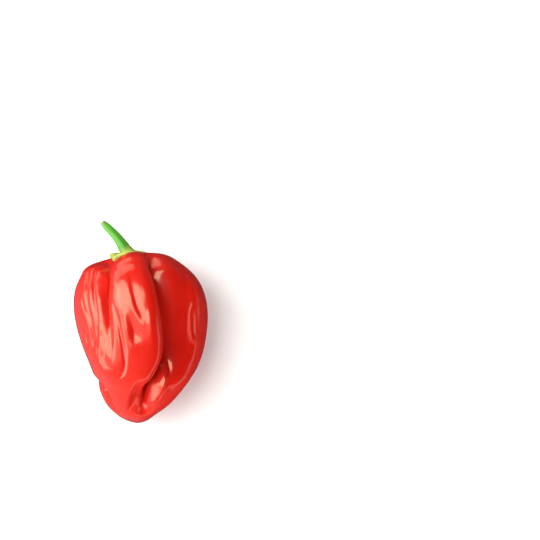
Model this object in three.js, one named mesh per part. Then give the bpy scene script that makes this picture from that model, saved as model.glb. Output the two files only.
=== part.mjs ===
// A ripe chilli pepper of the habanero kind, lying on its side with its stem towards +Y:
// a lobed, folded pod, and the green stem that grows out of the calyx on its shoulder.
import * as THREE from 'three';
import { mergeVertices } from 'three/addons/utils/BufferGeometryUtils.js';

// Driving dimensions, in millimetres. The pod's length is counted in shares, 0 at the calyx
// and 1 at the tip. Angles round it are in degrees, 0 on top and 90 on the +X side.

// Control points of the curved line through the pod's middle, from the calyx to the tip
const POD_AXIS = [[-3.8, 20, 19], [-1.2, 4, 18.4], [0.8, -15, 15], [-1.5, -29.7, 9]];

// Reach of the skin from that line, at equal shares from 0 to 1
const POD_REACH = {
  left: [0, 11.4, 15.3, 17.8, 18.3, 17, 14.5, 12, 9.3, 4.8, 0],
  right: [0, 9.8, 15.2, 19.8, 21.7, 20.8, 17.8, 12.2, 6.9, 3.3, 0],
  top: [0, 9.5, 14.5, 17, 18, 18, 17, 14, 10, 5, 0],
  bottom: [0, 9, 14.5, 18.5, 19, 18, 16, 12.5, 8.5, 4.5, 0],
};

// Length of the pod along that line
const POD_LENGTH = 51;

// Folds of the skin. A fold follows a line whose shares are its span and whose angles are its line.
// It lifts or sinks the skin by its lift and fades out over its left and right widths. A lean pushes
// the edge on its left over it, and a power other than 2 makes its bell shape sharper or squarer.
// A list gives values at equal steps along the fold.
const POD_FOLDS = {
  deepGroove: {
    span: [0.03, 0.1, 0.17, 0.25, 0.33, 0.41, 0.49, 0.545, 0.595, 0.64, 0.69, 0.75, 0.8],
    line: [60, 39, 28, 24, 22, 22, 23, 22, 17, 12, 11, 14, 14],
    lift: [0, -3.4, -5.2, -6.3, -6.2, -5.4, -4.4, -3.4, 0],
    left: [1.6, 1.5, 1.5, 1.5, 1.6, 2.2, 2.4],
    right: [2.5, 4, 10, 12, 4, 2.8, 1.5],
    lean: 1.3,
  },
  lowerPit: {
    span: [0.6, 0.64, 0.68, 0.73, 0.79],
    line: [10, 4, 0, -2, -2],
    lift: [0, -1.6, -2.2, -1.5, 0],
    left: 2.4,
    right: 2.6,
    power: 4,
  },
  frontGroove: {
    span: [0.025, 0.05, 0.075, 0.105, 0.16, 0.26, 0.33, 0.38, 0.43, 0.47, 0.51, 0.56],
    line: [-80, -62, -42, -33, -30, -29, -29, -28, -26.5, -26, -26, -26],
    lift: [0, -1.4, -2, -2.5, -2.8, -3, -2.9, -2.3, -1.5, -1, -0.5, 0],
    left: [2.6, 2.8, 3, 3.2, 3.3, 3.3, 3.1, 2.8, 2.4, 1.9, 1.5, 1.2],
    right: [2, 2, 1.9, 1.9, 1.9, 1.9, 1.8, 1.6, 1.4, 1.2, 1.1, 1],
    power: 1.4,
  },
  leftGroove: {
    span: [0.1, 0.62],
    line: [-118, -120, -118, -114],
    lift: [0, -2.5, -3, -2.4, 0],
    left: 3,
    right: 2.6,
  },
  leftNotch: {
    span: [0.56, 0.62, 0.645, 0.652, 0.66, 0.68, 0.715, 0.76, 0.8, 0.82],
    line: [-112, -104, -88, -72, -60, -53, -51, -47, -38, -28],
    lift: [0, -1.4, -2.2, -2.7, -2.7, -2.5, -2.2, -1.5, 0],
    left: 2.4,
    right: 1.1,
  },
  rightGroove: {
    span: [0.1, 0.8],
    line: [118, 125, 126, 122, 112, 100],
    lift: [0, -2.4, -2.8, -2.4, -1.5, 0],
    left: 3,
    right: 3,
  },
  bellyGroove: {
    span: [0.08, 0.85],
    line: [176, 183, 178, 182],
    lift: [0, -1.8, -2.4, -2.4, -1.6, 0],
    left: 4.5,
    right: 4.5,
  },
  frontCrown: {
    span: [0.05, 0.8],
    line: [6, 9, 11, 12, 8, 0, -8],
    lift: [0, 1.4, 1.8, 1.4, 0.6, 0],
    left: 8,
    right: 5,
  },
  frontShoulder: { span: [0.02, 0.17], line: [14, 6, 2, 0], lift: [0, 1.5, 1.2, 0], left: 4, right: 7 },
  leftWrinkleOuter: {
    span: [0.28, 0.31, 0.34, 0.37, 0.4, 0.43],
    line: [-62, -60, -57, -52, -49.5, -49],
    lift: [0, -0.4, -0.4, -0.3, 0],
    left: 0.9,
    right: 1.1,
  },
  leftWrinkleMiddle: {
    span: [0.1, 0.15, 0.23, 0.3, 0.34, 0.375, 0.41, 0.45, 0.485, 0.515],
    line: [-76, -66, -57, -53, -51, -49, -48, -49, -51, -56],
    lift: [0, -0.5, -0.6, -0.6, -0.6, -0.5, 0],
    left: 0.9,
    right: 1.2,
  },
  leftWrinkleInner: {
    span: [0.08, 0.105, 0.175, 0.26, 0.32, 0.36, 0.41, 0.465, 0.52, 0.56, 0.6, 0.635],
    line: [-55, -53, -50, -45, -42, -40, -40, -42, -46, -48, -48, -46],
    lift: [0, -0.5, -0.6, -0.6, -0.6, -0.6, -0.5, 0],
    left: 0.9,
    right: [1.1, 1.1, 1.2, 1.6, 2],
  },
  leftSwell: {
    span: [0.24, 0.3, 0.36, 0.41, 0.45],
    line: [-37, -37, -36.5, -35.5, -33.5],
    lift: [0, 0.5, 0.6, 0.5, 0],
    left: 1.2,
    right: 3,
  },
  leftPlateau: {
    span: [0.37, 0.445, 0.505, 0.55, 0.6, 0.66],
    line: [-38, -38, -39.5, -42, -42.5, -42],
    lift: [0, 0.8, 1.8, 2.4, 2.2, 1, 0],
    left: 1.3,
    right: 8,
  },
  leftHollow: {
    span: [0.4, 0.53],
    line: [-60, -60, -62, -63],
    lift: [0, -0.5, -0.6, 0],
    left: 1,
    right: 1.5,
  },
  frontCreaseLeft: {
    span: [0.27, 0.33, 0.36, 0.4, 0.435, 0.47, 0.5, 0.53, 0.555, 0.57, 0.585, 0.59],
    line: [-25, -20, -18, -16, -15, -14, -13.5, -13, -14, -16.5, -20, -24],
    lift: [0, -0.35, -0.45, -0.45, -0.4, -0.35, -0.35, 0],
    left: 0.9,
    right: [1.4, 1.1, 1, 0.9, 0.9],
  },
  frontFold: {
    span: [0.31, 0.34, 0.37, 0.41, 0.44, 0.48, 0.51, 0.53],
    line: [-15, -13, -12, -11, -9.5, -8.5, -8, -9],
    lift: [0, 0.3, 0.35, 0.35, 0.3, 0],
    left: 1.1,
    right: 2.4,
  },
  frontCreaseRight: {
    span: [0.18, 0.22, 0.26, 0.3, 0.33, 0.36, 0.385, 0.41],
    line: [3, 1, 1, 1.5, 2, 3.5, 5.5, 7],
    lift: [0, -0.3, -0.4, -0.4, -0.35, 0],
    left: 0.9,
    right: 2.6,
  },
  frontCreaseLow: {
    span: [0.33, 0.35, 0.375, 0.4, 0.43, 0.455, 0.48],
    line: [-6, -5, -4, -3, -2, -2, -2],
    lift: [0, -0.2, -0.5, -0.65, 0],
    left: 1.4,
    right: 1.7,
  },
  rightValley: {
    span: [0.2, 0.26, 0.31, 0.37, 0.465, 0.53, 0.6],
    line: [72, 63, 57, 56, 55, 54, 50],
    lift: [0, -0.5, -0.6, -0.6, -0.5, 0],
    left: 2,
    right: 2,
  },
  rightRidge: { span: [0.24, 0.6], line: [67, 64, 62, 60], lift: [0, 0.6, 0.7, 0.5, 0], left: 2.4, right: 3 },
  lowerRidge: {
    span: [0.56, 0.6, 0.62, 0.65, 0.675, 0.7, 0.73, 0.75],
    line: [31, 30, 29, 28, 26, 23, 17, 10],
    lift: [0, 0.8, 1, 1, 0.8, 0],
    left: 1.3,
    right: 1.3,
  },
  lowerSwell: { span: [0.5, 0.82], line: [55, 55, 52, 48], lift: [0, 0.8, 0.8, 0], left: 4, right: 4 },
};

// Power of a fold's bell shape where none is given
const BELL_POWER = 2;

// Steps that each fold's line and the pod's length are counted in
const FOLD_STEPS = 48;
const SKIN_STEPS = 400;

// Height that the pod is pressed flat to where it lies on the surface
const REST_HEIGHT = 0.2;

// Mesh of the pod: columns crowd together round one angle, where the folds are finest
const POD_COLUMNS = 88;
const POD_ROWS = 66;
const COLUMN_CROWDING = 0.4;
const CROWDED_ANGLE = -20;

// Stem and calyx, turned as a straight blank of radius and height, then bent into place
const CALYX_RADIUS = 4.9;
const CALYX_EDGE = 0.9;
const CALYX_POINTS = 5;
const CALYX_POINT_DEPTH = 0.1;
// Angle of one of the calyx's points, in degrees
const CALYX_TURN = 22;
// Share of its radius that the calyx is drawn in on top, and of its thickness lost towards +X
const CALYX_TUCK = 0.1;
const CALYX_LEAN = 0.6;
// Shares of the calyx's radius at which its underside has a ring of points
const UNDERSIDE_RINGS = [0.3, 0.6, 0.85, 1];
// Radius and height of the calyx between its edge and the stem's foot
const CALYX_SLOPE = [[4.4, 1.05], [3.6, 1.05], [2.8, 1.1], [2.15, 1.4]];
// Share of the pod's length at which its shoulder is measured to lay the calyx on it
const SHOULDER_SHARE = 0.05;
const STEM_LENGTH = 12.2;
const STEM_END = 0.5;
// Shares of the stem's last radius at which its cut end has a ring of points
const CUT_RINGS = [0.8, 0.4, 0];
// Radii of the stem at equal steps from its foot to its cut end
const STEM_RADII = [1.85, 1.6, 1.45, 1.35, 1.25, 1.15, 0.95];
const STEM_RIBS = 5;
const STEM_RIB_DEPTH = 0.035;
const STEM_PATH = [[-3.9, 19.8, 19], [-5.2, 23.9, 19.4], [-8.4, 27, 20.4], [-11.5, 29.8, 21]];
const STEM_COLUMNS = 36;
// Heights between which the blank leaves the pod's shoulder and follows the stem's path
const NECK_FROM = 0.9;
const NECK_TO = 2.5;
// Clear gap between the calyx and the pod
const CALYX_GAP = 0.3;

const SKIN_FINISH = { color: 0xd92a1c, roughness: 0.25, metalness: 0 };
const STEM_FINISH = { color: 0x4f9a2e, roughness: 0.5, metalness: 0 };

const UP = new THREE.Vector3(0, 0, 1);
const SMALL_STEP = 1e-4;
const MERGE_DISTANCE = 1e-3;

// Smooth curve through equally spaced values, level at its ends if asked
function spline(values, share, levelEnds = false) {
  const last = values.length - 1;
  const before = levelEnds ? values[1] : 2 * values[0] - values[1];
  const after = levelEnds ? values[last - 1] : 2 * values[last] - values[last - 1];
  const place = THREE.MathUtils.clamp(share, 0, 1) * last;
  const index = Math.min(Math.floor(place), last - 1);
  const t = place - index;
  const a = index > 0 ? values[index - 1] : before;
  const b = values[index];
  const c = values[index + 1];
  const d = index + 2 <= last ? values[index + 2] : after;
  return b + 0.5 * t * (c - a + t * (2 * a - 5 * b + 4 * c - d + t * (3 * (b - c) + d - a)));
}

// A value that is either the same all along a fold or a list along it
function valueAt(value, share) {
  return Array.isArray(value) ? spline(value, share) : value;
}

function curveThrough(points) {
  return new THREE.CubicBezierCurve3(...points.map((point) => new THREE.Vector3(...point)));
}

// Centre of a section of a bent body, with its sideways and upward directions
function sectionAt(curve, share, sense) {
  const forward = curve.getTangent(share).multiplyScalar(sense);
  const side = new THREE.Vector3().crossVectors(UP, forward).normalize();
  const over = new THREE.Vector3().crossVectors(forward, side);
  return { centre: curve.getPoint(share), side, over };
}

const podAxis = curveThrough(POD_AXIS);
const stemPath = curveThrough(STEM_PATH);

// Share of the middle line at a share of the pod's length. It moves slowly near the two ends, so
// that the ends come out round.
function axisShare(share) {
  return (1 - Math.cos(Math.PI * share)) / 2;
}

// The pod without its folds: half ellipses of the four reaches round its middle line
function smoothPod(share, angle) {
  const section = sectionAt(podAxis, axisShare(share), 1);
  const sine = Math.sin(angle);
  const cosine = Math.cos(angle);
  const sideReach = spline(sine < 0 ? POD_REACH.left : POD_REACH.right, share);
  const overReach = spline(cosine < 0 ? POD_REACH.bottom : POD_REACH.top, share);
  return section.centre
    .addScaledVector(section.side, sideReach * sine)
    .addScaledVector(section.over, overReach * cosine);
}

// Directions on the smooth pod: straight out of the skin, and round it
function skinDirections(share, angle) {
  const round = smoothPod(share, angle + SMALL_STEP).sub(smoothPod(share, angle - SMALL_STEP));
  const ahead = THREE.MathUtils.clamp(share + SMALL_STEP, 0, 1);
  const behind = THREE.MathUtils.clamp(share - SMALL_STEP, 0, 1);
  const along = smoothPod(ahead, angle).sub(smoothPod(behind, angle));
  const out = new THREE.Vector3().crossVectors(along, round).normalize();
  return { out, round: round.normalize() };
}

function meanReach(share) {
  const reaches = Object.values(POD_REACH).map((reach) => spline(reach, share));
  return reaches.reduce((sum, reach) => sum + reach, 0) / reaches.length;
}

// Lengths down the skin from the calyx: steps along the middle line and out of it, added up
function addUpSkin() {
  const lengths = [0];
  for (let step = 1; step <= SKIN_STEPS; step += 1) {
    const near = (step - 1) / SKIN_STEPS;
    const far = step / SKIN_STEPS;
    const forward = POD_LENGTH * (axisShare(far) - axisShare(near));
    const outward = meanReach(far) - meanReach(near);
    lengths.push(lengths[step - 1] + Math.hypot(forward, outward));
  }
  return lengths;
}

const skinLengths = addUpSkin();

function skinLength(share) {
  const place = THREE.MathUtils.clamp(share, 0, 1) * SKIN_STEPS;
  const index = Math.min(Math.floor(place), SKIN_STEPS - 1);
  return THREE.MathUtils.lerp(skinLengths[index], skinLengths[index + 1], place - index);
}

// Points of a fold's line: length down the skin, and angle round it
function traceLine(fold) {
  const points = [];
  for (let step = 0; step <= FOLD_STEPS; step += 1) {
    const along = step / FOLD_STEPS;
    const round = THREE.MathUtils.degToRad(spline(fold.line, along));
    points.push({ down: skinLength(spline(fold.span, along)), round });
  }
  return points;
}

const tracedFolds = Object.values(POD_FOLDS).map((fold) => ({ ...fold, points: traceLine(fold) }));

// Where a place on the skin lies by a fold: how far along its line the nearest point of it is, and
// how far across from that, negative on the left. The skin round the place counts as flat.
function placeByFold(fold, place) {
  let nearest = { along: 0, across: Infinity };
  for (let step = 0; step < FOLD_STEPS; step += 1) {
    const start = fold.points[step];
    const end = fold.points[step + 1];
    const turn = place.angle - start.round;
    const x = Math.atan2(Math.sin(turn), Math.cos(turn)) * place.reach;
    const y = place.down - start.down;
    const runX = (end.round - start.round) * place.reach;
    const runY = end.down - start.down;
    const part = THREE.MathUtils.clamp((x * runX + y * runY) / (runX ** 2 + runY ** 2), 0, 1);
    const distance = Math.hypot(x - part * runX, y - part * runY);
    if (distance < Math.abs(nearest.across)) {
      const side = x * runY < y * runX ? -1 : 1;
      nearest = { along: (step + part) / FOLD_STEPS, across: side * distance };
    }
  }
  return nearest;
}

// How far the folds move the skin out and round, at one place: bell shapes across each fold's line
function foldsAt(share, angle) {
  const place = { angle, down: skinLength(share), reach: meanReach(share) };
  let out = 0;
  let round = 0;
  for (const fold of tracedFolds) {
    const { along, across } = placeByFold(fold, place);
    const left = valueAt(fold.left, along);
    const width = across < 0 ? left : valueAt(fold.right, along);
    const lift = spline(fold.lift, along, true);
    out += lift * Math.exp(-(Math.abs(across / width) ** (fold.power ?? BELL_POWER)));
    if (fold.lean) {
      const strength = lift / Math.min(...fold.lift);
      round += fold.lean * strength * Math.exp(-((across / left + 1) ** 2));
    }
  }
  return { out, round };
}

// The folded skin, pressed flat where it lies on the surface
function podSkin(share, angle) {
  const directions = skinDirections(share, angle);
  const moves = foldsAt(share, angle);
  const point = smoothPod(share, angle)
    .addScaledVector(directions.out, moves.out)
    .addScaledVector(directions.round, moves.round);
  point.z = Math.max(point.z, REST_HEIGHT);
  return point;
}

// One closed body: the vertices along its seam and at its poles are shared
function closed(geometry) {
  geometry.deleteAttribute('normal');
  geometry.deleteAttribute('uv');
  const body = mergeVertices(geometry, MERGE_DISTANCE);
  body.computeVertexNormals();
  return body;
}

// Place on the skin of a point of the pod's grid, whose columns are crowded on one side
function podGridPoint(column, row) {
  const even = (2 * Math.PI * column) / POD_COLUMNS;
  const crowded = THREE.MathUtils.degToRad(CROWDED_ANGLE);
  return podSkin(row / POD_ROWS, even - COLUMN_CROWDING * Math.sin(even - crowded));
}

// Triangles of the pod's grid: each quad is split along the diagonal that lies closer to the skin
function podTriangles(position) {
  const vertex = (index) => new THREE.Vector3().fromBufferAttribute(position, index);
  const triangles = [];
  for (let row = 0; row < POD_ROWS; row += 1) {
    for (let column = 0; column < POD_COLUMNS; column += 1) {
      const a = row * (POD_COLUMNS + 1) + column;
      const b = a + 1;
      const c = a + POD_COLUMNS + 1;
      const d = c + 1;
      const middle = podGridPoint(column + 0.5, row + 0.5);
      const miss = (from, to) => vertex(from).lerp(vertex(to), 0.5).distanceTo(middle);
      if (row === 0) triangles.push(a, c, d);
      else if (row === POD_ROWS - 1) triangles.push(a, c, b);
      else if (miss(a, d) < miss(b, c)) triangles.push(a, c, d, a, d, b);
      else triangles.push(a, c, b, b, c, d);
    }
  }
  return triangles;
}

function podGeometry() {
  const geometry = new THREE.SphereGeometry(1, POD_COLUMNS, POD_ROWS);
  const { position } = geometry.attributes;
  for (let index = 0; index < position.count; index += 1) {
    const row = Math.floor(index / (POD_COLUMNS + 1));
    const isPole = row === 0 || row === POD_ROWS;
    const column = isPole ? 0 : index % (POD_COLUMNS + 1);
    position.setXYZ(index, ...podGridPoint(column, row));
  }
  geometry.setIndex(podTriangles(position));
  return closed(geometry);
}

// Half outline of the stem's blank: under the calyx, round its edge, up the neck and the stem
function stemOutline() {
  const outline = [[0, 0]];
  for (const share of UNDERSIDE_RINGS) outline.push([share * CALYX_RADIUS, 0]);
  outline.push([CALYX_RADIUS, CALYX_EDGE], ...CALYX_SLOPE);
  STEM_RADII.forEach((radius, index) => {
    const share = index / (STEM_RADII.length - 1);
    outline.push([radius, THREE.MathUtils.lerp(NECK_TO, STEM_LENGTH, share)]);
  });
  const endRadius = STEM_RADII[STEM_RADII.length - 1];
  for (const share of CUT_RINGS) outline.push([share * endRadius, STEM_LENGTH + STEM_END]);
  return outline.map(([radius, height]) => new THREE.Vector2(radius, height));
}

// A point of the blank laid on the pod's shoulder, its height counted out of the skin
function onShoulder(radius, height, angle) {
  const rim = THREE.MathUtils.smoothstep(radius, CALYX_RADIUS / 2, CALYX_RADIUS);
  const fromPoint = angle - THREE.MathUtils.degToRad(CALYX_TURN);
  const points = CALYX_POINT_DEPTH * Math.cos(CALYX_POINTS * fromPoint);
  const scallop = 1 + rim * (points - CALYX_TUCK * Math.cos(angle));
  const pole = smoothPod(0, angle);
  const shoulderRadius = smoothPod(SHOULDER_SHARE, angle).distanceTo(pole);
  const share = (SHOULDER_SHARE * radius * scallop) / shoulderRadius;
  const { out } = skinDirections(Math.max(share, SMALL_STEP), angle);
  const leaned = height * (1 - CALYX_LEAN * rim * Math.sin(angle));
  return podSkin(share, angle).addScaledVector(out, CALYX_GAP + leaned);
}

// A point of the blank carried along the stem's path
function onStem(radius, height, angle) {
  const section = sectionAt(stemPath, height / (STEM_LENGTH + STEM_END), -1);
  const ribbed = radius * (1 + STEM_RIB_DEPTH * Math.cos(STEM_RIBS * angle));
  return section.centre
    .addScaledVector(section.side, ribbed * Math.sin(angle))
    .addScaledVector(section.over, ribbed * Math.cos(angle));
}

function stemGeometry() {
  const outline = stemOutline();
  const geometry = new THREE.LatheGeometry(outline, STEM_COLUMNS);
  const { position } = geometry.attributes;
  for (let index = 0; index < position.count; index += 1) {
    const { x: radius, y: height } = outline[index % outline.length];
    const angle = (2 * Math.PI * Math.floor(index / outline.length)) / STEM_COLUMNS;
    const lifted = THREE.MathUtils.smoothstep(height, NECK_FROM, NECK_TO);
    const point = onShoulder(radius, height, angle).lerp(onStem(radius, height, angle), lifted);
    position.setXYZ(index, ...point);
  }
  return closed(geometry);
}

function subPart(name, geometry, finish) {
  const mesh = new THREE.Mesh(geometry, new THREE.MeshStandardMaterial(finish));
  mesh.name = name;
  return mesh;
}

const pepper = new THREE.Group();
pepper.add(subPart('fruit', podGeometry(), SKIN_FINISH));
pepper.add(subPart('stem_calyx', stemGeometry(), STEM_FINISH));

// The origin is under the middle of the whole pepper, on the surface it lies on
const extent = new THREE.Box3().setFromObject(pepper);
const middle = extent.getCenter(new THREE.Vector3());
pepper.position.set(-middle.x, -middle.y, -extent.min.z);

export default pepper;
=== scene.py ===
import functools
import math

import bpy
import numpy as np
from bpy.props import FloatProperty, FloatVectorProperty, IntProperty, PointerProperty
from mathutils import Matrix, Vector


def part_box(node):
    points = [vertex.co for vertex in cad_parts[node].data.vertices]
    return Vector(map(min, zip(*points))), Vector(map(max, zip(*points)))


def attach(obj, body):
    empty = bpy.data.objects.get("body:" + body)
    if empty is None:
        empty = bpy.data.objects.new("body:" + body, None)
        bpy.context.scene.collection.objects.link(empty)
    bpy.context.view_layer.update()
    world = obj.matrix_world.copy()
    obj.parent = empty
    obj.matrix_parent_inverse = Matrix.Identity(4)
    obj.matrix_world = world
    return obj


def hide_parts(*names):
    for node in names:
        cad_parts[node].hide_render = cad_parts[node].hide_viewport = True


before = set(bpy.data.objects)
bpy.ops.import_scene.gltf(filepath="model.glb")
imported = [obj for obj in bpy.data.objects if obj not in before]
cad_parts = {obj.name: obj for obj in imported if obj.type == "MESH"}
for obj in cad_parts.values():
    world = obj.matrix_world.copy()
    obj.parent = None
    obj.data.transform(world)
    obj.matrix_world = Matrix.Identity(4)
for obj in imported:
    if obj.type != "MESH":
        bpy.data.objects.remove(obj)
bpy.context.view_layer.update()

bl_info = {
    "name": "Chilli pepper",
    "version": (1, 0, 0),
    "blender": (4, 5, 0),
    "location": "3D View > Sidebar > Pepper",
    "description": "Grows a folded red chilli pepper with its green stem, and sets a plain stage for it",
    "category": "Add Mesh",
}

MM = 0.001

# The pod's form, in millimetres. Its length is counted in shares, 0 at the calyx and 1 at the
# tip, and angles round it are in degrees, 0 on top and 90 on the +X side.
POD_AXIS = [(-3.8, 20, 19), (-1.2, 4, 18.4), (0.8, -15, 15), (-1.5, -29.7, 9)]
POD_REACH = {
    "left": [0, 11.4, 15.3, 17.8, 18.3, 17, 14.5, 12, 9.3, 4.8, 0],
    "right": [0, 9.8, 15.2, 19.8, 21.7, 20.8, 17.8, 12.2, 6.9, 3.3, 0],
    "top": [0, 9.5, 14.5, 17, 18, 18, 17, 14, 10, 5, 0],
    "bottom": [0, 9, 14.5, 18.5, 19, 18, 16, 12.5, 8.5, 4.5, 0],
}
POD_LENGTH = 51
REST_HEIGHT = 0.2

# How finely the skin, its box and the lines of its folds are worked out
SKIN_STEP = 1e-4
LENGTH_STEPS = 400
BOX_ROWS = 120
BOX_COLUMNS = 180
FOLD_STEPS = 48
LINE_STEP = 0.01
FADE_WIDTHS = 3
TINY = 1e-9

# Folds of the skin. A fold follows a line of shares and angles, lifts or sinks the skin by its lift
# and fades out over its left and right widths. A lean pushes the edge on a fold's left over it, and
# a power under 2 makes it sharp. A list gives values at equal steps along the fold.
POD_FOLDS = {
    "deep_groove": dict(
        span=[0.03, 0.1, 0.17, 0.25, 0.33, 0.41, 0.49, 0.545, 0.595, 0.64, 0.69, 0.75, 0.8],
        line=[60, 39, 28, 24, 22, 22, 23, 22, 17, 12, 11, 14, 14],
        lift=[0, -3.4, -5.2, -6.3, -6.2, -5.4, -4.4, -3.4, 0],
        left=[1.6, 1.5, 1.5, 1.5, 1.6, 2.2, 2.4],
        right=[2.5, 4, 10, 12, 4, 2.8, 1.5],
        lean=1.3,
    ),
    "lower_pit": dict(
        span=[0.6, 0.64, 0.68, 0.73, 0.79],
        line=[10, 4, 0, -2, -2],
        lift=[0, -1.6, -2.2, -1.5, 0],
        left=2.4,
        right=2.6,
        power=4,
    ),
    "front_groove": dict(
        span=[0.025, 0.05, 0.075, 0.105, 0.16, 0.26, 0.33, 0.38, 0.43, 0.47, 0.51, 0.56],
        line=[-80, -62, -42, -33, -30, -29, -29, -28, -26.5, -26, -26, -26],
        lift=[0, -1.4, -2, -2.5, -2.8, -3, -2.9, -2.3, -1.5, -1, -0.5, 0],
        left=[2.6, 2.8, 3, 3.2, 3.3, 3.3, 3.1, 2.8, 2.4, 1.9, 1.5, 1.2],
        right=[2, 2, 1.9, 1.9, 1.9, 1.9, 1.8, 1.6, 1.4, 1.2, 1.1, 1],
        power=1.4,
    ),
    "left_groove": dict(
        span=[0.1, 0.62], line=[-118, -120, -118, -114], lift=[0, -2.5, -3, -2.4, 0], left=3, right=2.6
    ),
    "left_notch": dict(
        span=[0.56, 0.62, 0.645, 0.652, 0.66, 0.678, 0.715, 0.76, 0.8, 0.82],
        line=[-112, -104, -88, -72, -60, -53, -51, -47, -38, -28],
        lift=[0, -1.4, -2.2, -2.7, -2.7, -2.5, -2.2, -1.5, 0],
        left=2.4,
        right=1.1,
    ),
    "right_groove": dict(
        span=[0.1, 0.8],
        line=[118, 125, 126, 122, 112, 100],
        lift=[0, -2.4, -2.8, -2.4, -1.5, 0],
        left=3,
        right=3,
    ),
    "belly_groove": dict(
        span=[0.08, 0.85],
        line=[176, 183, 178, 182],
        lift=[0, -1.8, -2.4, -2.4, -1.6, 0],
        left=4.5,
        right=4.5,
    ),
    "front_crown": dict(
        span=[0.05, 0.8], line=[6, 9, 11, 12, 8, 0, -8], lift=[0, 1.4, 1.8, 1.4, 0.6, 0], left=8, right=5
    ),
    "front_shoulder": dict(
        span=[0.02, 0.17], line=[14, 6, 2, 0], lift=[0, 1.5, 1.2, 0], left=4, right=7
    ),
    "left_wrinkle_outer": dict(
        span=[0.28, 0.31, 0.34, 0.37, 0.4, 0.43],
        line=[-62, -60, -57, -52, -49.5, -49],
        lift=[0, -0.4, -0.4, -0.3, 0],
        left=0.5,
        right=0.9,
        power=1.5,
    ),
    "left_wrinkle_middle": dict(
        span=[0.1, 0.15, 0.23, 0.3, 0.34, 0.375, 0.41, 0.45, 0.485, 0.515],
        line=[-76, -66, -57, -53, -51, -49, -48, -49, -51, -56],
        lift=[0, -0.5, -0.6, -0.6, -0.6, -0.5, 0],
        left=0.5,
        right=1,
        power=1.5,
    ),
    "left_wrinkle_inner": dict(
        span=[0.08, 0.105, 0.175, 0.26, 0.32, 0.36, 0.41, 0.465, 0.52, 0.56, 0.6, 0.635],
        line=[-55, -53, -50, -45, -42, -40, -40, -42, -46, -48, -48, -46],
        lift=[0, -0.5, -0.6, -0.6, -0.6, -0.6, -0.5, 0],
        left=0.6,
        right=[0.9, 0.9, 1, 1.6, 2],
        power=1.5,
    ),
    "left_swell": dict(
        span=[0.24, 0.3, 0.36, 0.41, 0.45],
        line=[-37, -37, -36.5, -35.5, -33.5],
        lift=[0, 0.5, 0.6, 0.5, 0],
        left=1.2,
        right=3,
    ),
    "left_plateau": dict(
        span=[0.37, 0.445, 0.505, 0.55, 0.6, 0.66],
        line=[-38, -38, -39.5, -42, -42.5, -42],
        lift=[0, 0.8, 1.8, 2.4, 2.2, 1, 0],
        left=1.3,
        right=8,
    ),
    "left_hollow": dict(
        span=[0.4, 0.53], line=[-60, -60, -62, -63], lift=[0, -0.5, -0.6, 0], left=1, right=1.5
    ),
    "front_crease_left": dict(
        span=[0.27, 0.33, 0.36, 0.4, 0.435, 0.467, 0.5, 0.53, 0.553, 0.572, 0.585, 0.592],
        line=[-25, -20, -18, -16, -15, -14, -13.5, -13, -14, -16.5, -20, -24],
        lift=[0, -0.35, -0.45, -0.45, -0.4, -0.35, -0.35, 0],
        left=0.7,
        right=[1.4, 1, 0.8, 0.5, 0.5],
        power=1.5,
    ),
    "front_fold": dict(
        span=[0.307, 0.338, 0.372, 0.408, 0.443, 0.477, 0.509, 0.533],
        line=[-14.8, -12.8, -11.8, -10.8, -9.5, -8.5, -8.2, -8.8],
        lift=[0, 0.3, 0.35, 0.35, 0.3, 0],
        left=1.1,
        right=2.4,
    ),
    "front_crease_right": dict(
        span=[0.182, 0.221, 0.263, 0.297, 0.328, 0.358, 0.384, 0.412],
        line=[2.8, 1.2, 0.8, 1.5, 2.2, 3.7, 5.5, 7],
        lift=[0, -0.3, -0.4, -0.4, -0.35, 0],
        left=0.9,
        right=2.6,
    ),
    "front_crease_low": dict(
        span=[0.33, 0.35, 0.376, 0.402, 0.43, 0.455, 0.48],
        line=[-6, -5, -4, -3, -2, -2, -2],
        lift=[0, -0.2, -0.5, -0.65, 0],
        left=1.4,
        right=1.7,
    ),
    "right_valley": dict(
        span=[0.2, 0.26, 0.31, 0.37, 0.465, 0.53, 0.6],
        line=[72, 63, 57, 56, 55, 54, 50],
        lift=[0, -0.5, -0.6, -0.6, -0.5, 0],
        left=2,
        right=2,
    ),
    "right_ridge": dict(
        span=[0.24, 0.6], line=[67, 64, 62, 60], lift=[0, 0.6, 0.7, 0.5, 0], left=2.4, right=3
    ),
    "lower_ridge": dict(
        span=[0.56, 0.6, 0.62, 0.65, 0.675, 0.7, 0.727, 0.75],
        line=[31, 30, 29, 28, 26, 23, 17, 10],
        lift=[0, 0.8, 1, 1, 0.8, 0],
        left=1.3,
        right=1.3,
    ),
    "lower_swell": dict(span=[0.5, 0.82], line=[55, 55, 52, 48], lift=[0, 0.8, 0.8, 0], left=4, right=4),
}

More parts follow.
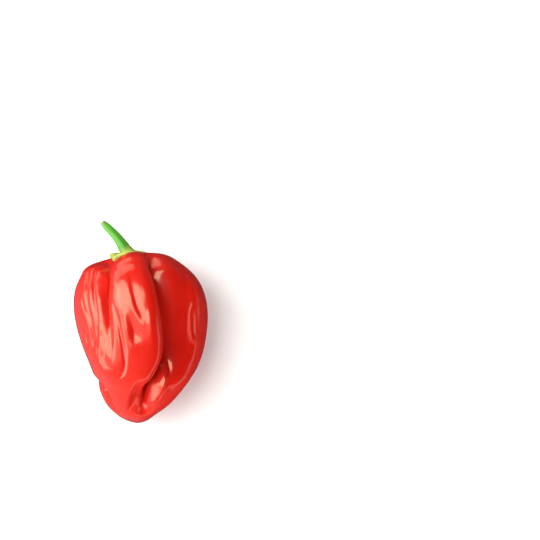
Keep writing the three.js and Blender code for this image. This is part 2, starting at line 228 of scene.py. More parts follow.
# Finer creases of the skin, too small for the plain solids
POD_CREASES = {
    "front_groove_line": dict(
        span=[0.07, 0.105, 0.16, 0.26, 0.33, 0.38, 0.43],
        line=[-44, -33, -30, -29, -29, -28, -26.5],
        lift=[0, -0.5, -0.6, -0.6, -0.5, 0],
        left=0.35,
        right=0.3,
    ),
    "front_edge_ridge": dict(
        span=[0.34, 0.5], line=[11.5, 11], lift=[0, 0.3, 0.3, 0], left=0.8, right=0.8
    ),
    "front_dimple": dict(
        span=[0.44, 0.53], line=[-32, -33, -35], lift=[0, -0.3, -0.2, 0], left=0.6, right=0.6
    ),
    "right_ring": dict(
        span=[0.37, 0.402, 0.438, 0.473, 0.502, 0.474, 0.439, 0.405, 0.37],
        line=[60, 57.4, 56.8, 57.4, 59.8, 61.3, 61.4, 60.9, 60],
        lift=[0.4, 0.5, 0.7, 0.8, 0.9, 0.9, 0.7, 0.5, 0.4],
        left=0.4,
        right=0.4,
    ),
    "lower_crease": dict(
        span=[0.533, 0.56, 0.578, 0.6, 0.618, 0.64, 0.666, 0.7, 0.745],
        line=[30, 34, 36, 35, 32.5, 30.5, 29, 26.5, 19],
        lift=[0, -0.4, -0.5, -0.45, -0.4, 0],
        left=0.4,
        right=0.6,
        power=1.5,
    ),
}

# Grid of the pod: columns crowd together round one angle, where the folds are finest
COLUMN_CROWDING = 0.4
CROWDED_ANGLE = -20

# Stem and calyx, turned as a straight blank of radius and height, then bent into place. The calyx
# is tucked in on top, thicker at its left edge and sunk into the skin a little. Over the neck's
# heights the blank passes from the pod's shoulder to the stem's path.
CALYX_RADIUS = 4.9
CALYX_EDGE = 0.9
CALYX_EDGE_BULGE = 0.6
CALYX_POINTS = 5
CALYX_POINT_DEPTH = 0.1
CALYX_TURN = 22
CALYX_TUCK = 0.1
CALYX_LEAN = 0.6
CALYX_SLOPE = [(4.4, 1.05), (3.6, 1.05), (2.8, 1.1), (2.15, 1.4)]
SHOULDER_SHARE = 0.05
STEM_LENGTH = 12.2
STEM_END = 0.5
CUT_HOLLOW = 0.25
STEM_RADII = [1.85, 1.6, 1.45, 1.35, 1.25, 1.15, 0.95]
STEM_RIBS = 5
STEM_RIB_DEPTH = 0.035
STEM_PATH = [(-3.9, 19.8, 19), (-5.2, 23.9, 19.4), (-8.4, 27, 20.4), (-11.5, 29.8, 21)]
NECK_FROM = 0.9
NECK_TO = 2.5
CALYX_SINK = 0.1

# Rows of the blank: under the calyx, round its edge, up the stem, round its end and over its cut
UNDER_ROWS = 9
EDGE_ROWS = 8
BODY_ROWS = 120
END_ROWS = 6
CUT_ROWS = 8

# Sizes of the patterns on the skin and stem, in millimetres. A scale along the piece under 1 draws
# a pattern out lengthwise.
MOTTLE_SIZE = 7
DENT_SIZE = 1.8
DENT_SCALE_ALONG = 0.35
GRAIN_SIZE = 0.5
STREAK_SIZE = 0.5
STREAK_SCALE_ALONG = 0.12
SPOT_SIZE = 1.5

# Heights up the blank at which its colours change, and the height over which the cut's colour fades.
# From the upper stem height down to the lower one the stem is painted darker, as painted shade at its
# base
CALYX_COLOUR_TO = 1.2
STEM_COLOUR_FROM = 3.4
SHADED_STEM_TO = 2.5
UNSHADED_STEM_FROM = 7.5
CUT_FADE = 0.9

# The photograph's frame: its side in pixels, the size of a pixel, the pixel over the pod's own zero,
# and the height above it at which that size holds
PHOTO_PIXELS = 540
MM_PER_PIXEL = 0.3
PIXEL_AT_ZERO = (140.5, 321.5)
SCALE_HEIGHT = 17

# Direction of the sky's bright side, and the cosine from it at which the sky is dimmest
SKY_BRIGHT_SIDE = (-0.7, -0.6, 0.1)
SKY_DIM_COSINE = -0.15

# Soft lights round the pepper, in metres. They face its middle. One that isn't mirrored leaves no
# gloss on the skin, and one that doesn't light the skin leaves gloss alone. Their powers are among
# the stage's settings.
LIGHT_TARGET = (0, 0, 0.02)
LIGHTS = {
    "key": dict(place=(-0.38, 0.14, 0.65), size=(0.5, 0.8)),
    "overhead": dict(place=(-0.48, -0.1, 0.88), size=(0.85, 0.9)),
    "left_side": dict(place=(-0.74, -0.16, 0.3), size=(1.1, 0.5)),
    "right_fill": dict(place=(0.5, -0.78, 0.05), size=(1.6, 0.08), mirrored=False),
    "back": dict(place=(-0.05, 0.75, 0.4), size=(1.0, 0.75), mirrored=False),
    "back_card": dict(place=(-0.5, 0.6, 0.04), size=(0.9, 0.55), lights_skin=False),
    "low_card": dict(place=(0.5, -0.5, 0.1), size=(1.6, 0.2)),
}


def linear(hex_colour):
    """Linear red, green, blue and alpha of an sRGB hex colour."""
    channels = [int(hex_colour[start:start + 2], 16) / 255 for start in (0, 2, 4)]
    return tuple(c / 12.92 if c <= 0.04045 else ((c + 0.055) / 1.055) ** 2.4 for c in channels) + (1.0,)


def spline(values, share, level_ends=False):
    """Smooth curve through equally spaced values (Catmull-Rom), level at its ends if asked."""
    values = np.asarray(values, float)
    last = len(values) - 1
    before = values[1] if level_ends else 2 * values[0] - values[1]
    after = values[last - 1] if level_ends else 2 * values[last] - values[last - 1]
    padded = np.concatenate([[before], values, [after]])
    place = np.clip(share, 0, 1) * last
    index = np.minimum(np.floor(place).astype(int), last - 1)
    t = place - index
    a, b, c, d = (padded[index + step] for step in range(4))
    return b + 0.5 * t * (c - a + t * (2 * a - 5 * b + 4 * c - d + t * (3 * (b - c) + d - a)))


def value_at(value, share):
    """A value that is either the same all along a fold or a list along it."""
    return spline(value, share) if isinstance(value, list) else value


def smoothstep(low, high, value):
    """0 below low, 1 above high, and a smooth rise between."""
    t = np.clip((value - low) / (high - low), 0, 1)
    return t * t * (3 - 2 * t)


def unit(vectors):
    """Vectors brought to length one. One of no length stays as it is."""
    length = np.linalg.norm(vectors, axis=-1, keepdims=True)
    return vectors / np.where(length > 0, length, 1)


def section(control, share, sense):
    """Centres of sections along a cubic Bezier curve, with their sideways and upward directions.
    A sense of -1 turns a curve that runs to +Y round, so that sideways is near +X on both pieces."""
    p0, p1, p2, p3 = np.asarray(control, float)
    t = np.asarray(share, float)[..., None]
    centre = (1 - t) ** 3 * p0 + 3 * t * (1 - t) ** 2 * p1 + 3 * t * t * (1 - t) * p2 + t ** 3 * p3
    tangent = (1 - t) ** 2 * (p1 - p0) + 2 * t * (1 - t) * (p2 - p1) + t * t * (p3 - p2)
    forward = unit(tangent) * sense
    side = unit(np.cross([0.0, 0.0, 1.0], forward))
    return centre, side, np.cross(forward, side)


def smooth_pod(share, angle):
    """The pod without its folds: half ellipses of the four reaches round its middle line."""
    centre, side, over = section(POD_AXIS, (1 - np.cos(np.pi * share)) / 2, 1)
    sine, cosine = np.sin(angle), np.cos(angle)
    sideways = np.where(sine < 0, spline(POD_REACH["left"], share), spline(POD_REACH["right"], share))
    upward = np.where(cosine < 0, spline(POD_REACH["bottom"], share), spline(POD_REACH["top"], share))
    return centre + side * (sideways * sine)[..., None] + over * (upward * cosine)[..., None]


def skin_directions(share, angle):
    """Directions on the smooth pod: straight out of the skin, and round it."""
    round_it = smooth_pod(share, angle + SKIN_STEP) - smooth_pod(share, angle - SKIN_STEP)
    ahead = smooth_pod(np.clip(share + SKIN_STEP, 0, 1), angle)
    behind = smooth_pod(np.clip(share - SKIN_STEP, 0, 1), angle)
    return unit(np.cross(ahead - behind, round_it)), unit(round_it)


def mean_reach(share):
    """Mean of the pod's four reaches."""
    return sum(spline(reach, share) for reach in POD_REACH.values()) / len(POD_REACH)


def skin_length(share):
    """Length down the skin from the calyx: steps along the middle line and out of it, added up."""
    shares = np.linspace(0, 1, LENGTH_STEPS + 1)
    forward = POD_LENGTH * np.diff((1 - np.cos(np.pi * shares)) / 2)
    outward = np.diff(mean_reach(shares))
    lengths = np.concatenate([[0], np.cumsum(np.hypot(forward, outward))])
    return np.interp(share, shares, lengths)


def place_by_fold(fold, down, angle, reach):
    """Where points of the skin lie by a fold: the share along its line of the nearest place on it,
    and the distance across, negative on its left. The skin round each point counts as flat. The
    nearest place is the low point of a parabola through the three nearest steps."""

    def from_line(along):
        turn = angle - np.radians(spline(fold["line"], along))
        sideways = (np.remainder(turn + np.pi, 2 * np.pi) - np.pi) * reach
        return sideways, down - skin_length(spline(fold["span"], along))

    steps = np.linspace(0, 1, FOLD_STEPS + 1)[:, None]
    x, y = from_line(steps)
    squares = x * x + y * y
    middle = np.clip(np.argmin(squares, axis=0), 1, FOLD_STEPS - 1)
    before, at, after = (np.take_along_axis(squares, middle[None] + step, 0)[0] for step in (-1, 0, 1))
    part = (before - after) / np.maximum(before - 2 * at + after, TINY) / 2
    along = np.clip((middle + np.clip(part, -1, 1)) / FOLD_STEPS, 0, 1)
    x, y = from_line(along)
    behind_x, behind_y = from_line(along - LINE_STEP)
    ahead_x, ahead_y = from_line(along + LINE_STEP)
    turn_left = x * (behind_y - ahead_y) - y * (behind_x - ahead_x)
    return along, np.where(turn_left < 0, -1, 1) * np.hypot(x, y)


def fold_moves(folds, share, angle):
    """How far folds move the skin out and round: bell curves across each fold's line. A sharp fold
    has a pointed curve."""
    out = np.zeros_like(share)
    around = np.zeros_like(share)
    down = skin_length(share)
    reach = mean_reach(share)
    for fold in folds.values():
        fade = FADE_WIDTHS * np.max(np.concatenate([np.ravel(fold["left"]), np.ravel(fold["right"])]))
        first, last = skin_length(np.array([min(fold["span"]), max(fold["span"])]))
        near = (down > first - fade) & (down < last + fade)
        along, across = place_by_fold(fold, down[near], angle[near], reach[near])
        left = value_at(fold["left"], along)
        width = np.where(across < 0, left, value_at(fold["right"], along))
        lift = spline(fold["lift"], along, level_ends=True)
        out[near] += lift * np.exp(-np.abs(across / width) ** fold.get("power", 2))
        if "lean" in fold:
            strength = lift / min(fold["lift"])
            around[near] += fold["lean"] * strength * np.exp(-(across / left + 1) ** 2)
    return out, around


def pod_skin(share, angle, fine_height=0.0):
    """The folded skin: the smooth pod moved out and round by its folds, and pressed flat at rest."""
    out_of_skin, round_it = skin_directions(share, angle)
    out, around = fold_moves(POD_FOLDS, share, angle)
    if fine_height:
        out = out + fine_height * fold_moves(POD_CREASES, share, angle)[0]
    points = smooth_pod(share, angle) + out_of_skin * out[..., None] + round_it * around[..., None]
    points[..., 2] = np.maximum(points[..., 2], REST_HEIGHT)
    return points


@functools.cache
def frame_shift():
    """Move from the pod's own coordinates to the frame, in millimetres, found from the solid's box."""
    share, angle = np.meshgrid(
        np.linspace(0, 1, BOX_ROWS + 1), np.linspace(-np.pi, np.pi, BOX_COLUMNS + 1), indexing="ij"
    )
    points = pod_skin(share, angle).reshape(-1, 3)
    low, high = (np.array(corner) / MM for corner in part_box("fruit"))
    shift = (low + high - points.min(0) - points.max(0)) / 2
    shift[2] = low[2] - REST_HEIGHT
    return shift


def grid_mesh(name, points, attributes):
    """Closed mesh of a grid of points: its first and last rows are single poles, and its columns
    join up. attributes maps names to vectors of the same grid."""
    rows, columns = points.shape[:2]

    def flat(grid):
        return np.concatenate([grid[:1, 0], grid[1:-1].reshape(-1, 3), grid[-1:, 0]]).astype(np.float32)

    ring = np.arange(columns)
    following = np.roll(ring, -1)
    starts = 1 + columns * np.arange(rows - 2)[:, None]
    near, far = starts[:-1], starts[1:]
    quads = np.stack([near + ring, far + ring, far + following, near + following], -1).reshape(-1, 4)
    last_pole = np.full(columns, 1 + columns * (rows - 2))
    first_fan = np.stack([np.zeros(columns, int), starts[0] + ring, starts[0] + following], -1)
    last_fan = np.stack([last_pole, starts[-1] + following, starts[-1] + ring], -1)
    corners = np.concatenate([quads.ravel(), first_fan.ravel(), last_fan.ravel()])
    sizes = np.concatenate([np.full(len(quads), 4), np.full(2 * columns, 3)])
    vertices = flat(points)
    mesh = bpy.data.meshes.new(name)
    mesh.vertices.add(len(vertices))
    mesh.vertices.foreach_set("co", vertices.ravel() * MM)
    mesh.loops.add(len(corners))
    mesh.loops.foreach_set("vertex_index", corners)
    mesh.polygons.add(len(sizes))
    mesh.polygons.foreach_set("loop_start", np.concatenate([[0], np.cumsum(sizes)[:-1]]))
    mesh.polygons.foreach_set("use_smooth", np.ones(len(sizes), bool))
    for label, grid in attributes.items():
        layer = mesh.attributes.new(label, "FLOAT_VECTOR", "POINT")
        layer.data.foreach_set("vector", flat(grid).ravel())
    mesh.update(calc_edges=True)
    mesh.validate()
    return mesh


def add_piece(name, mesh, material, node):
    """Puts a finished mesh in the scene, where it rides on the frame and stands for a solid."""
    piece = bpy.data.objects.new(name, mesh)
    bpy.context.scene.collection.objects.link(piece)
    mesh.materials.append(material)
    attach(piece, "root")
    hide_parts(node)
    return piece


def pod_mesh(settings, shift):
    """The pod's skin on a grid of shares and angles, its columns crowded on the wrinkled side."""
    share, even = np.meshgrid(
        np.linspace(0, 1, settings.rows + 1),
        2 * np.pi * np.arange(settings.columns) / settings.columns,
        indexing="ij",
    )
    angle = even - COLUMN_CROWDING * np.sin(even - math.radians(CROWDED_ANGLE))
    points = pod_skin(share, angle, settings.fine_height) + shift
    girth = max(max(reach) for reach in POD_REACH.values())
    grown = np.stack([girth * np.sin(angle), girth * np.cos(angle), POD_LENGTH * share], -1)
    return grid_mesh("pepper_pod", points, {"grown": grown})


def stem_outline():
    """Radii and heights of the blank: under the calyx, round its edge, up the stem to its cut."""
    under = np.linspace(0, 1, UNDER_ROWS + 1)
    edge_turn = np.linspace(-np.pi / 2, np.pi / 2, EDGE_ROWS + 1)[1:]
    half_edge = CALYX_EDGE / 2
    stem_heights = np.linspace(NECK_TO, STEM_LENGTH, len(STEM_RADII))
    body = [(CALYX_RADIUS, CALYX_EDGE)] + CALYX_SLOPE + list(zip(STEM_RADII, stem_heights))
    radii, heights = np.transpose(body)
    share = np.linspace(0, 1, BODY_ROWS + 1)[1:]
    end_turn = np.linspace(0, np.pi / 2, END_ROWS + 1)[1:]
    cut = np.linspace(1, 0, CUT_ROWS + 1)[1:]
    cut_radius = STEM_RADII[-1] - STEM_END
    radius = np.concatenate([
        under * CALYX_RADIUS,
        CALYX_RADIUS + half_edge * np.cos(edge_turn) * CALYX_EDGE_BULGE,
        spline(radii, share),
        cut_radius + STEM_END * np.cos(end_turn),
        cut_radius * cut,
    ])
    height = np.concatenate([
        np.zeros_like(under),
        half_edge + half_edge * np.sin(edge_turn),
        spline(heights, share),
        STEM_LENGTH + STEM_END * np.sin(end_turn),
        STEM_LENGTH + STEM_END - CUT_HOLLOW * (1 - cut ** 2) ** 2,
    ])
    return radius, height


def on_shoulder(radius, height, angle):
    """Points of the blank laid on the pod's shoulder, their height counted out of the skin."""
    rim = smoothstep(CALYX_RADIUS / 2, CALYX_RADIUS, radius)
    star = CALYX_POINT_DEPTH * np.cos(CALYX_POINTS * (angle - math.radians(CALYX_TURN)))
    tuck = CALYX_TUCK * np.cos(angle)
    scallop = 1 + rim * (star - tuck)
    shoulder = np.full_like(angle, SHOULDER_SHARE)
    pole = smooth_pod(np.zeros_like(angle), angle)
    shoulder_radius = np.linalg.norm(smooth_pod(shoulder, angle) - pole, axis=-1)
    share = SHOULDER_SHARE * radius * scallop / shoulder_radius
    out, _ = skin_directions(np.maximum(share, SKIN_STEP), angle)
    leaned = height * (1 - CALYX_LEAN * rim * np.sin(angle))
    return pod_skin(share, angle) + out * (leaned - CALYX_SINK)[..., None]


def on_stem(radius, height, angle):
    """Points of the blank carried along the stem's path, with soft ribs round it."""
    centre, side, over = section(STEM_PATH, np.clip(height / (STEM_LENGTH + STEM_END), 0, 1), -1)
    ribbed = radius * (1 + STEM_RIB_DEPTH * np.cos(STEM_RIBS * angle))
    sideways, upward = ribbed * np.sin(angle), ribbed * np.cos(angle)
    return centre + side * sideways[..., None] + over * upward[..., None]


def stem_mesh(settings, shift):
    """The turned blank of calyx and stem, bent from the pod's shoulder onto the stem's path."""
    outline_radius, outline_height = stem_outline()
    angles = -2 * np.pi * np.arange(settings.columns) / settings.columns
    radius, angle = np.meshgrid(outline_radius, angles, indexing="ij")
    height, _ = np.meshgrid(outline_height, angles, indexing="ij")
    lifted = smoothstep(NECK_FROM, NECK_TO, height)[..., None]
    points = on_shoulder(radius, height, angle) * (1 - lifted) + on_stem(radius, height, angle) * lifted
    blank = np.stack([radius * np.sin(angle), radius * np.cos(angle), height], -1)
    return grid_mesh("pepper_stem", points + shift, {"blank": blank})


def add_node(tree, kind, inputs=None, **settings):
    """Adds a node with its own settings, and gives its sockets values or links to other outputs."""
    node = tree.nodes.new(kind)
    for name, value in settings.items():
        setattr(node, name, value)
    for socket, value in (inputs or {}).items():
        if isinstance(value, bpy.types.NodeSocket):
            tree.links.new(value, node.inputs[socket])
        else:
            node.inputs[socket].default_value = value
    return node


def new_material(name):
    """An empty node material, its tree and its output."""
    material = bpy.data.materials.new(name)
    material.use_nodes = True
    tree = material.node_tree
    tree.nodes.clear()
    return material, tree, add_node(tree, "ShaderNodeOutputMaterial")


def ripe_pepper_skin(settings):
    """Ripe pepper skin, grown: a thin wax bloom over a smooth, wet-looking red skin. The eye gets a
    deep red body, broad soft gloss broken by small dents, and sharper glints on the folds."""
    material, tree, output = new_material("ripe_pepper_skin")
    place = add_node(tree, "ShaderNodeTexCoord").outputs["Object"]
    grown = add_node(tree, "ShaderNodeAttribute", attribute_name="grown").outputs["Vector"]
    mottle = add_node(
        tree, "ShaderNodeTexNoise", {"Vector": place, "Scale": 1 / (MOTTLE_SIZE * MM), "Detail": 3.0}
    )
    colour = add_node(
        tree, "ShaderNodeMix",
        {"Factor": mottle.outputs["Fac"], "A": settings.deep_colour, "B": settings.skin_colour},
        data_type="RGBA",
    )
    stretched = add_node(
        tree, "ShaderNodeMapping", {"Vector": grown, "Scale": (1.0, 1.0, DENT_SCALE_ALONG)}
    )
    dents = add_node(
        tree, "ShaderNodeTexNoise",
        {"Vector": stretched.outputs["Vector"], "Scale": 1 / DENT_SIZE, "Detail": 2.0},
    )
    grain = add_node(
        tree, "ShaderNodeTexNoise", {"Vector": place, "Scale": 1 / (GRAIN_SIZE * MM), "Detail": 2.0}
    )
    dent_bump = add_node(
        tree, "ShaderNodeBump",
        {"Height": dents.outputs["Fac"], "Strength": 1.0, "Distance": settings.dent_depth},
    )
    grain_bump = add_node(
        tree, "ShaderNodeBump",
        {"Height": grain.outputs["Fac"], "Strength": 1.0, "Distance": settings.grain_depth,
         "Normal": dent_bump.outputs["Normal"]},
    )
    gloss = add_node(
        tree, "ShaderNodeMapRange",
        {"Value": mottle.outputs["Fac"], "From Min": 0.3, "From Max": 0.7,
         "To Min": 0.11, "To Max": 0.17},
    )
    skin = add_node(
        tree, "ShaderNodeBsdfPrincipled",
        {"Base Color": colour.outputs["Result"], "Roughness": gloss.outputs["Result"], "IOR": 1.55,
         "Specular Tint": (1.0, 0.8, 0.54, 1.0),
         "Subsurface Weight": 0.12, "Subsurface Radius": (1.0, 0.12, 0.06), "Subsurface Scale": 1.2 * MM,
         "Coat Weight": 0.35, "Coat Roughness": 0.4, "Coat IOR": 1.4,
         "Normal": grain_bump.outputs["Normal"]},
    )
    tree.links.new(skin.outputs["BSDF"], output.inputs["Surface"])
    return material


def green_pepper_stem(settings):
    """Fresh green stem, grown: a satin, finely ribbed skin, yellower on the calyx and paler at the
    cut. The eye gets lengthwise streaks of light and dark green, painted shade that darkens the stem
    towards its base, and a dull cut end."""
    material, tree, output = new_material("green_pepper_stem")
    blank = add_node(tree, "ShaderNodeAttribute", attribute_name="blank").outputs["Vector"]
    height = add_node(tree, "ShaderNodeSeparateXYZ", {"Vector": blank}).outputs["Z"]
    stretched = add_node(
        tree, "ShaderNodeMapping", {"Vector": blank, "Scale": (1.0, 1.0, STREAK_SCALE_ALONG)}
    )
    streaks = add_node(
        tree, "ShaderNodeTexNoise",
        {"Vector": stretched.outputs["Vector"], "Scale": 1 / STREAK_SIZE, "Detail": 3.0},
    )
    mottle = add_node(
        tree, "ShaderNodeTexNoise", {"Vector": blank, "Scale": 1 / SPOT_SIZE, "Detail": 2.0}
    )
    spots = add_node(
        tree, "ShaderNodeMapRange", {"Value": mottle.outputs["Fac"], "From Min": 0.35, "From Max": 0.55}
    )
    # Painted shade: towards the stem's base the streaks' dark green is mixed in more, fading out up the
    # stem
    painted_shade_fade = add_node(
        tree, "ShaderNodeMapRange",
        {"Value": height, "From Min": SHADED_STEM_TO, "From Max": UNSHADED_STEM_FROM,
         "To Min": 0.45, "To Max": 1.0},
    )
    streaks_and_painted_shade = add_node(
        tree, "ShaderNodeMath", {0: streaks.outputs["Fac"], 1: painted_shade_fade.outputs["Result"]},
        operation="MULTIPLY",
    )
    green = add_node(
        tree, "ShaderNodeMix",
        {"Factor": streaks_and_painted_shade.outputs["Value"],
         "A": settings.stem_streak_and_shade_colour, "B": settings.stem_colour},
        data_type="RGBA",
    )
    calyx_green = add_node(
        tree, "ShaderNodeMix",
        {"Factor": spots.outputs["Result"],
         "A": settings.calyx_dark_colour, "B": settings.calyx_colour},
        data_type="RGBA",
    )
    up_stem = add_node(
        tree, "ShaderNodeMapRange",
        {"Value": height, "From Min": CALYX_COLOUR_TO, "From Max": STEM_COLOUR_FROM},
        interpolation_type="SMOOTHSTEP",
    )
    body = add_node(
        tree, "ShaderNodeMix",
        {"Factor": up_stem.outputs["Result"],
         "A": calyx_green.outputs["Result"], "B": green.outputs["Result"]},
        data_type="RGBA",
    )
    at_cut = add_node(
        tree, "ShaderNodeMapRange",
        {"Value": height, "From Min": STEM_LENGTH - CUT_FADE, "From Max": STEM_LENGTH + STEM_END},
    )
    colour = add_node(
        tree, "ShaderNodeMix",
        {"Factor": at_cut.outputs["Result"], "A": body.outputs["Result"], "B": settings.cut_colour},
        data_type="RGBA",
    )
    bump = add_node(
        tree, "ShaderNodeBump",
        {"Height": streaks.outputs["Fac"], "Strength": 1.0, "Distance": settings.streak_depth},
    )
    stem = add_node(
        tree, "ShaderNodeBsdfPrincipled",
        {"Base Color": colour.outputs["Result"], "Roughness": 0.42, "IOR": 1.45,
         "Subsurface Weight": 0.08, "Subsurface Radius": (0.3, 1.0, 0.1), "Subsurface Scale": 0.5 * MM,
         "Normal": bump.outputs["Normal"]},
    )
    tree.links.new(stem.outputs["BSDF"], output.inputs["Surface"])
    return material


def white_floor(settings):
    """White paper sweep: dead matt and evenly bright, so that it stays pale round the pepper."""
    material, tree, output = new_material("white_paper")
    paper = add_node(
        tree, "ShaderNodeBsdfPrincipled",
        {"Base Color": settings.floor_colour, "Roughness": 0.9, "Specular IOR Level": 0.1,
         "Emission Color": (1.0, 1.0, 1.0, 1.0), "Emission Strength": settings.floor_glow},
    )
    tree.links.new(paper.outputs["BSDF"], output.inputs["Surface"])
    return material


def soft_sky(settings):
    """Light of a white tent: a smooth change from its dim side to its bright side, left and in front."""
    world = bpy.data.worlds.new("soft_sky")
    world.use_nodes = True
    tree = world.node_tree
    tree.nodes.clear()
    direction = add_node(tree, "ShaderNodeTexCoord").outputs["Generated"]
    bright_side = Vector(SKY_BRIGHT_SIDE).normalized()
    towards = add_node(
        tree, "ShaderNodeVectorMath", {0: direction, 1: bright_side}, operation="DOT_PRODUCT"
    )
    level = add_node(
        tree, "ShaderNodeMapRange",
        {"Value": towards.outputs["Value"], "From Min": SKY_DIM_COSINE, "To Min": settings.sky_dim,
         "To Max": settings.sky_bright},
        interpolation_type="SMOOTHSTEP",
    )
    background = add_node(tree, "ShaderNodeBackground", {"Strength": level.outputs["Result"]})
    output = add_node(tree, "ShaderNodeOutputWorld")
    tree.links.new(background.outputs["Background"], output.inputs["Surface"])
    return world


def add_light(name, place, size, power, colour, mirrored=True, lights_skin=True):
    """A soft rectangular light at a place, turned to face the pepper, not seen by the camera itself."""
    data = bpy.data.lights.new(name, "AREA")
    data.shape = "RECTANGLE"
    data.size, data.size_y = size
    data.energy = power
    data.color = colour
    light = bpy.data.objects.new(name, data)
    light.location = place
    light.rotation_euler = (Vector(LIGHT_TARGET) - Vector(place)).to_track_quat("-Z", "Y").to_euler()
    light.visible_camera = False
    light.visible_glossy = mirrored
    light.visible_diffuse = lights_skin
    bpy.context.scene.collection.objects.link(light)


def add_floor(settings):
    """A square sheet under the pepper, which leaves no gloss on it."""
    half = settings.floor_size / 2
    mesh = bpy.data.meshes.new("floor")
    corners = [(-half, -half, 0), (half, -half, 0), (half, half, 0), (-half, half, 0)]
    mesh.from_pydata(corners, [], [(0, 1, 2, 3)])
    mesh.materials.append(white_floor(settings))
    floor = bpy.data.objects.new("floor", mesh)
    bpy.context.scene.collection.objects.link(floor)
    floor.visible_glossy = False


def add_camera(settings):
    """A camera straight above the middle of the photograph's frame, looking down."""
    data = bpy.data.cameras.new("camera")
    data.lens = settings.lens
    middle = PHOTO_PIXELS / 2
    shift = frame_shift()
    across = (middle - PIXEL_AT_ZERO[0]) * MM_PER_PIXEL + shift[0]
    upward = (PIXEL_AT_ZERO[1] - middle) * MM_PER_PIXEL + shift[1]
    distance = PHOTO_PIXELS * MM_PER_PIXEL * data.lens / data.sensor_width
    camera = bpy.data.objects.new("camera", data)
    camera.location = Vector((across, upward, SCALE_HEIGHT + distance)) * MM
    bpy.context.scene.collection.objects.link(camera)
    bpy.context.scene.camera = camera


class PepperPodSettings(bpy.types.PropertyGroup):
    """Sizes and colours of the pod."""

    columns: IntProperty(name="Columns", description="Grid columns round the pod", default=448, min=32)
    rows: IntProperty(name="Rows", description="Grid rows along the pod", default=220, min=24)
    fine_height: FloatProperty(
        name="Fine creases", description="Strength of the finer creases", default=1.0, min=0.0, max=1.5,
        subtype="FACTOR",
    )
    dent_depth: FloatProperty(
        name="Dent depth", description="Depth of the small dents in the skin", default=0.0001,
        unit="LENGTH", precision=6,
    )
    grain_depth: FloatProperty(
        name="Grain depth", description="Depth of the finest grain of the skin", default=0.000008,
        unit="LENGTH", precision=6,
    )
    skin_colour: FloatVectorProperty(
        name="Skin colour", description="Main red of the skin", default=linear("BF170A"),
        size=4, subtype="COLOR",
    )
    deep_colour: FloatVectorProperty(
        name="Deep colour", description="Deeper red in the mottling", default=linear("B31107"),
        size=4, subtype="COLOR",
    )


class PepperStemSettings(bpy.types.PropertyGroup):
    """Sizes and colours of the stem and calyx."""

    columns: IntProperty(name="Columns", description="Grid columns round the stem", default=160, min=24)
    streak_depth: FloatProperty(
        name="Streak depth", description="Depth of the fine lengthwise ribs", default=0.00006,
        unit="LENGTH", precision=6,
    )
    stem_colour: FloatVectorProperty(
        name="Stem colour", description="Light green of the stem", default=linear("6CBA42"),
        size=4, subtype="COLOR",
    )
    # Darker green of the streaks, also used as the painted shade at the stem's base
    stem_streak_and_shade_colour: FloatVectorProperty(
        name="Streak colour", description="Darker green of the streaks", default=linear("2E7A1B"),
        size=4, subtype="COLOR",
    )
    calyx_colour: FloatVectorProperty(
        name="Calyx colour", description="Yellow-green of the calyx", default=linear("9CA648"),
        size=4, subtype="COLOR",
    )
    calyx_dark_colour: FloatVectorProperty(
        name="Spot colour", description="Green of the calyx's darker spots", default=linear("5F8430"),
        size=4, subtype="COLOR",
    )
    cut_colour: FloatVectorProperty(
        name="Cut colour", description="Grey-green of the cut end", default=linear("7F8A5E"),
        size=4, subtype="COLOR",
    )


class PepperStageSettings(bpy.types.PropertyGroup):
    """Floor, light and camera."""

    floor_size: FloatProperty(
        name="Floor size", description="Side of the floor", default=4.0, unit="LENGTH"
    )
    floor_colour: FloatVectorProperty(
        name="Floor colour", description="Colour of the paper", default=linear("E4E6E8"),
        size=4, subtype="COLOR",
    )
    floor_glow: FloatProperty(
        name="Floor glow", description="Light the paper gives off", default=0.2, min=0.0
    )
    key_power: FloatProperty(
        name="Key power", description="Power of the main light", default=8.0, unit="POWER"
    )
    overhead_power: FloatProperty(
        name="Overhead power", description="Power of the wide panel overhead", default=2.5, unit="POWER"
    )
    left_side_power: FloatProperty(
        name="Side power", description="Power of the light at the left", default=8.0, unit="POWER"
    )
    right_fill_power: FloatProperty(
        name="Fill power", description="Power of the low light in front", default=11.0, unit="POWER"
    )
    back_power: FloatProperty(
        name="Back power", description="Power of the light behind the pepper", default=4.0, unit="POWER"
    )
    back_card_power: FloatProperty(
        name="Back card power", description="Power of the low card behind on the left", default=3.6,
        unit="POWER",
    )
    low_card_power: FloatProperty(
        name="Low card power", description="Power of the low card at the right", default=1.4,
        unit="POWER",
    )
    light_colour: FloatVectorProperty(
        name="Light colour", description="Slightly warm white of the lights", default=(1.0, 0.97, 0.92),
        subtype="COLOR",
    )
    sky_dim: FloatProperty(
        name="Dim sky", description="Strength of the sky's dim side", default=0.03, min=0.0
    )
    sky_bright: FloatProperty(
        name="Bright sky", description="Strength of the sky's bright side", default=0.8, min=0.0
    )
    lens: FloatProperty(
        name="Lens", description="Focal length", default=600.0, subtype="DISTANCE_CAMERA"
    )


class PEPPER_OT_grow_pod(bpy.types.Operator):
    """Grow the folded red pod in the place of its solid"""

    bl_idname = "pepper.grow_pod"
    bl_label = "Grow pod"

    def execute(self, context):
        settings = context.scene.pepper_pod
        mesh = pod_mesh(settings, frame_shift())
        add_piece("pepper_pod", mesh, ripe_pepper_skin(settings), "fruit")
        return {"FINISHED"}


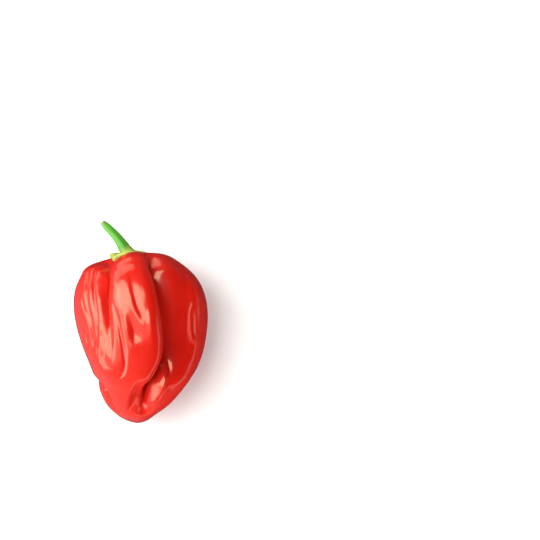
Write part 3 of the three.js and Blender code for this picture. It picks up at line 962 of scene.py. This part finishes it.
class PEPPER_OT_grow_stem(bpy.types.Operator):
    """Grow the green stem and calyx in the place of their solid"""

    bl_idname = "pepper.grow_stem"
    bl_label = "Grow stem"

    def execute(self, context):
        settings = context.scene.pepper_stem
        mesh = stem_mesh(settings, frame_shift())
        add_piece("pepper_stem", mesh, green_pepper_stem(settings), "stem_calyx")
        return {"FINISHED"}


class PEPPER_OT_set_stage(bpy.types.Operator):
    """Lay the white floor, set the soft light and point the camera straight down"""

    bl_idname = "pepper.set_stage"
    bl_label = "Set stage"

    def execute(self, context):
        settings = context.scene.pepper_stage
        add_floor(settings)
        for name, light in LIGHTS.items():
            power = getattr(settings, f"{name}_power")
            add_light(name, **light, power=power, colour=settings.light_colour)
        context.scene.world = soft_sky(settings)
        context.scene.view_settings.view_transform = "Standard"
        add_camera(settings)
        return {"FINISHED"}


class PEPPER_PT_sidebar(bpy.types.Panel):
    """Lists the pepper's settings and steps in the 3D view's sidebar"""

    bl_idname = "PEPPER_PT_sidebar"
    bl_label = "Chilli pepper"
    bl_space_type = "VIEW_3D"
    bl_region_type = "UI"
    bl_category = "Pepper"

    def draw(self, context):
        layout = self.layout
        for group, operator in (
            (context.scene.pepper_stage, PEPPER_OT_set_stage),
            (context.scene.pepper_pod, PEPPER_OT_grow_pod),
            (context.scene.pepper_stem, PEPPER_OT_grow_stem),
        ):
            box = layout.box()
            for name in group.__annotations__:
                box.prop(group, name)
            box.operator(operator.bl_idname)


CLASSES = (
    PepperPodSettings,
    PepperStemSettings,
    PepperStageSettings,
    PEPPER_OT_grow_pod,
    PEPPER_OT_grow_stem,
    PEPPER_OT_set_stage,
    PEPPER_PT_sidebar,
)


def register():
    for cls in CLASSES:
        bpy.utils.register_class(cls)
    bpy.types.Scene.pepper_pod = PointerProperty(type=PepperPodSettings)
    bpy.types.Scene.pepper_stem = PointerProperty(type=PepperStemSettings)
    bpy.types.Scene.pepper_stage = PointerProperty(type=PepperStageSettings)


def unregister():
    del bpy.types.Scene.pepper_stage
    del bpy.types.Scene.pepper_stem
    del bpy.types.Scene.pepper_pod
    for cls in reversed(CLASSES):
        bpy.utils.unregister_class(cls)


def main():
    register()
    bpy.ops.pepper.set_stage()
    bpy.ops.pepper.grow_pod()
    bpy.ops.pepper.grow_stem()


if __name__ == "__main__":
    main()
